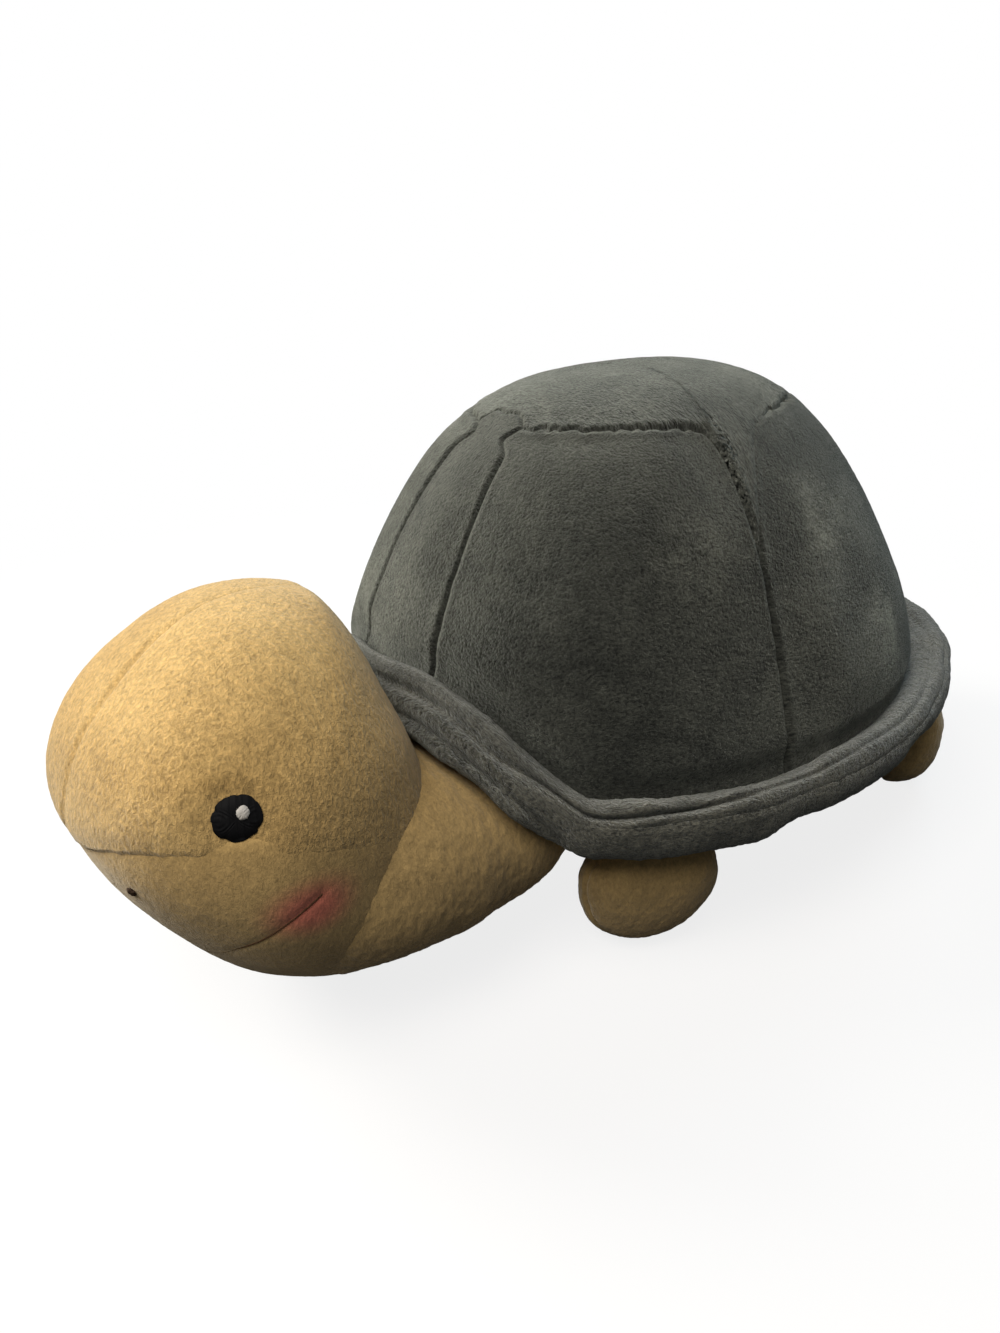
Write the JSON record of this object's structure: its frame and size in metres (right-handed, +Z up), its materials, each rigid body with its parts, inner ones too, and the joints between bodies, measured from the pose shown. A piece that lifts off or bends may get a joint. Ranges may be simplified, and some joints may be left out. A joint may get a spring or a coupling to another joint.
{
  "type": "plush turtle",
  "caption": "Stuffed toy turtle with a panelled dome shell, a padded brim, stub legs that swing and a head that turns and nods.",
  "frame": {"origin": "on the surface the turtle stands on, under the middle of its bounding box", "axes": "+X to the turtle's left, +Y from its head to its rear, +Z up"},
  "size_m": [0.1996, 0.3321, 0.1671],
  "materials": {
    "shell_minky": "dark grey-green minky with a short brushed pile",
    "brim_minky": "dark grey-green minky with a short brushed pile",
    "tan_plush": "tan plush with a short pile",
    "muzzle_plush": "tan plush, laid smooth",
    "polyester_filling": "loose polyester fibre",
    "bean_bag_cloth": "plain woven cotton",
    "black_embroidery": "satin stitch thread",
    "white_embroidery": "satin stitch thread",
    "brown_embroidery": "satin stitch thread"
  },
  "bodies": {
    "body": {"shell_crown_panel": "shell_minky", "shell_front_panel": "shell_minky", "shell_front_left_panel": "shell_minky", "shell_rear_left_panel": "shell_minky", "shell_rear_panel": "shell_minky", "shell_rear_right_panel": "shell_minky", "shell_front_right_panel": "shell_minky", "brim_upper_strip": "brim_minky", "brim_lower_strip": "brim_minky", "brim_wadding": "polyester_filling", "body_filling": "polyester_filling", "bean_bag": "bean_bag_cloth", "belly_panel": "tan_plush"},
    "neck": {"neck_cover": "tan_plush", "neck_filling": "polyester_filling"},
    "head": {"head_left_panel": "tan_plush", "head_right_panel": "tan_plush", "muzzle_panel": "muzzle_plush", "head_filling": "polyester_filling", "eye_left": "black_embroidery", "eye_right": "black_embroidery", "eye_highlight_left": "white_embroidery", "eye_highlight_right": "white_embroidery", "nostril_left": "brown_embroidery", "nostril_right": "brown_embroidery"},
    "front_left_leg": {"front_left_leg_outer_cover": "tan_plush", "front_left_leg_inner_cover": "tan_plush", "front_left_leg_filling": "polyester_filling"},
    "rear_left_leg": {"rear_left_leg_outer_cover": "tan_plush", "rear_left_leg_inner_cover": "tan_plush", "rear_left_leg_filling": "polyester_filling"},
    "rear_right_leg": {"rear_right_leg_outer_cover": "tan_plush", "rear_right_leg_inner_cover": "tan_plush", "rear_right_leg_filling": "polyester_filling"},
    "front_right_leg": {"front_right_leg_outer_cover": "tan_plush", "front_right_leg_inner_cover": "tan_plush", "front_right_leg_filling": "polyester_filling"}
  },
  "joints": [
    {"name": "neck_turn", "type": "hinge", "parent": "body", "child": "neck", "pos_m": [0, -0.08, 0.04], "axis": [0, 0, 1], "range_deg": [-12, 12], "stiffness_Nm_per_rad": 6},
    {"name": "head_nod", "type": "hinge", "parent": "neck", "child": "head", "pos_m": [0, -0.08, 0.04], "axis": [1, 0, 0], "range_deg": [-5, 12], "stiffness_Nm_per_rad": 8},
    {"name": "front_left_leg_swing", "type": "hinge", "parent": "body", "child": "front_left_leg", "pos_m": [0.0736, -0.03003, 0.0431], "axis": [-0.5, -0.866, 0], "range_deg": [0, 30], "stiffness_Nm_per_rad": 0.3},
    {"name": "rear_left_leg_swing", "type": "hinge", "parent": "body", "child": "rear_left_leg", "pos_m": [0.06248, 0.12736, 0.0431], "axis": [0.6157, -0.788, 0], "range_deg": [0, 30], "stiffness_Nm_per_rad": 0.3},
    {"name": "rear_right_leg_swing", "type": "hinge", "parent": "body", "child": "rear_right_leg", "pos_m": [-0.06248, 0.12736, 0.0431], "axis": [0.6157, 0.788, 0], "range_deg": [0, 30], "stiffness_Nm_per_rad": 0.3},
    {"name": "front_right_leg_swing", "type": "hinge", "parent": "body", "child": "front_right_leg", "pos_m": [-0.0736, -0.03003, 0.0431], "axis": [-0.5, 0.866, 0], "range_deg": [0, 30], "stiffness_Nm_per_rad": 0.3}
  ]
}
